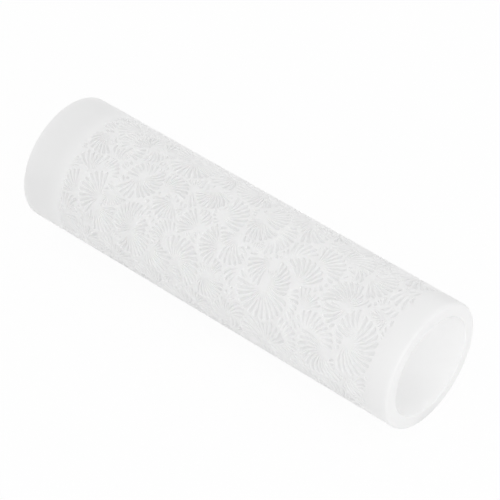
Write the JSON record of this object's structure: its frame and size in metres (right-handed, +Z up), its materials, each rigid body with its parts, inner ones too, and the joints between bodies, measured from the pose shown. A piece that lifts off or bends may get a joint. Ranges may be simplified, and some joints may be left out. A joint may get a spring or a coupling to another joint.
{
  "type": "clay texture roller",
  "caption": "Open hollow tube with plain end bands and an engraved fan relief round the middle, rolled over clay to print a texture.",
  "frame": {"origin": "middle of the underside of the tube as it lies on a table, halfway along its length", "axes": "+X along the tube towards the end with the narrow plain band, +Z up, the tube lying on its side"},
  "size_m": [0.1, 0.0286, 0.0286],
  "materials": {
    "roller": "translucent white resin, satin"
  },
  "bodies": {
    "root": {"textured_roller": "roller"}
  },
  "joints": []
}
